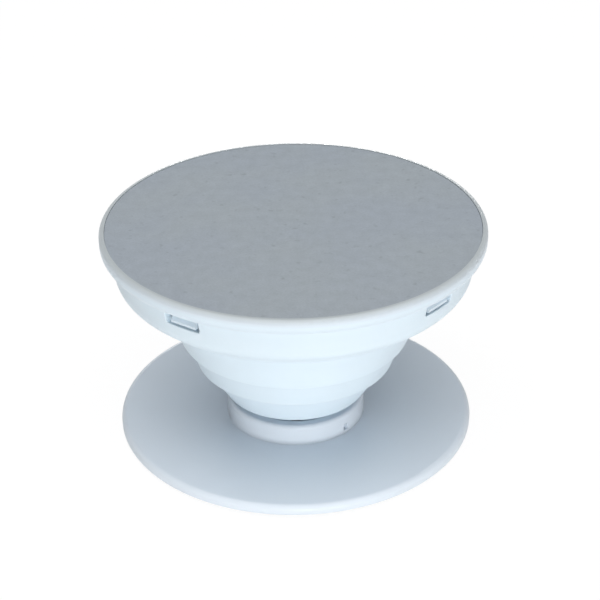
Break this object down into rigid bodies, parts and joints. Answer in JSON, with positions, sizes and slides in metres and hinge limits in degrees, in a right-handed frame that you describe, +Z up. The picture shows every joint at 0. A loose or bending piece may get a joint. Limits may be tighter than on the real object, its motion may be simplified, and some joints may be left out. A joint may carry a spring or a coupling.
{
  "type": "collapsible phone grip",
  "caption": "Round push-out phone grip: a sticky base disc, a folding stepped accordion and a wide button with a flat grey insert. It turns on its base and pushes in flat.",
  "frame": {"origin": "middle of the adhesive pad's lower face, where the grip sits on a phone", "axes": "+Z up the axis of the grip, from the phone to the button; the front of the picture faces -Y"},
  "size_m": [0.0398, 0.0398, 0.0234],
  "materials": {
    "pad_adhesive": "soft sticky foam",
    "platform_plastic": "smooth white moulding, low gloss",
    "plug_plastic": "white moulding",
    "accordion_elastomer": "satin white elastomer",
    "button_plastic": "smooth white moulding, low gloss",
    "film_adhesive": "thin sticky film",
    "insert_disc": "matt grey with a fine grain"
  },
  "bodies": {
    "base": {"adhesive_pad": "pad_adhesive", "platform": "platform_plastic"},
    "stem": {"accordion": "accordion_elastomer", "retaining_plug": "plug_plastic"},
    "cap": {"button": "button_plastic", "insert_adhesive": "film_adhesive", "top_insert": "insert_disc"}
  },
  "joints": [
    {"name": "swivel", "type": "hinge", "parent": "base", "child": "stem", "pos_m": [0, 0, 0.002], "axis": [0, 0, 1], "continuous": true},
    {"name": "collapse", "type": "slide", "parent": "stem", "child": "cap", "axis": [0, 0, -1], "range_m": [0, 0.0148], "deforming": ["accordion"]}
  ]
}
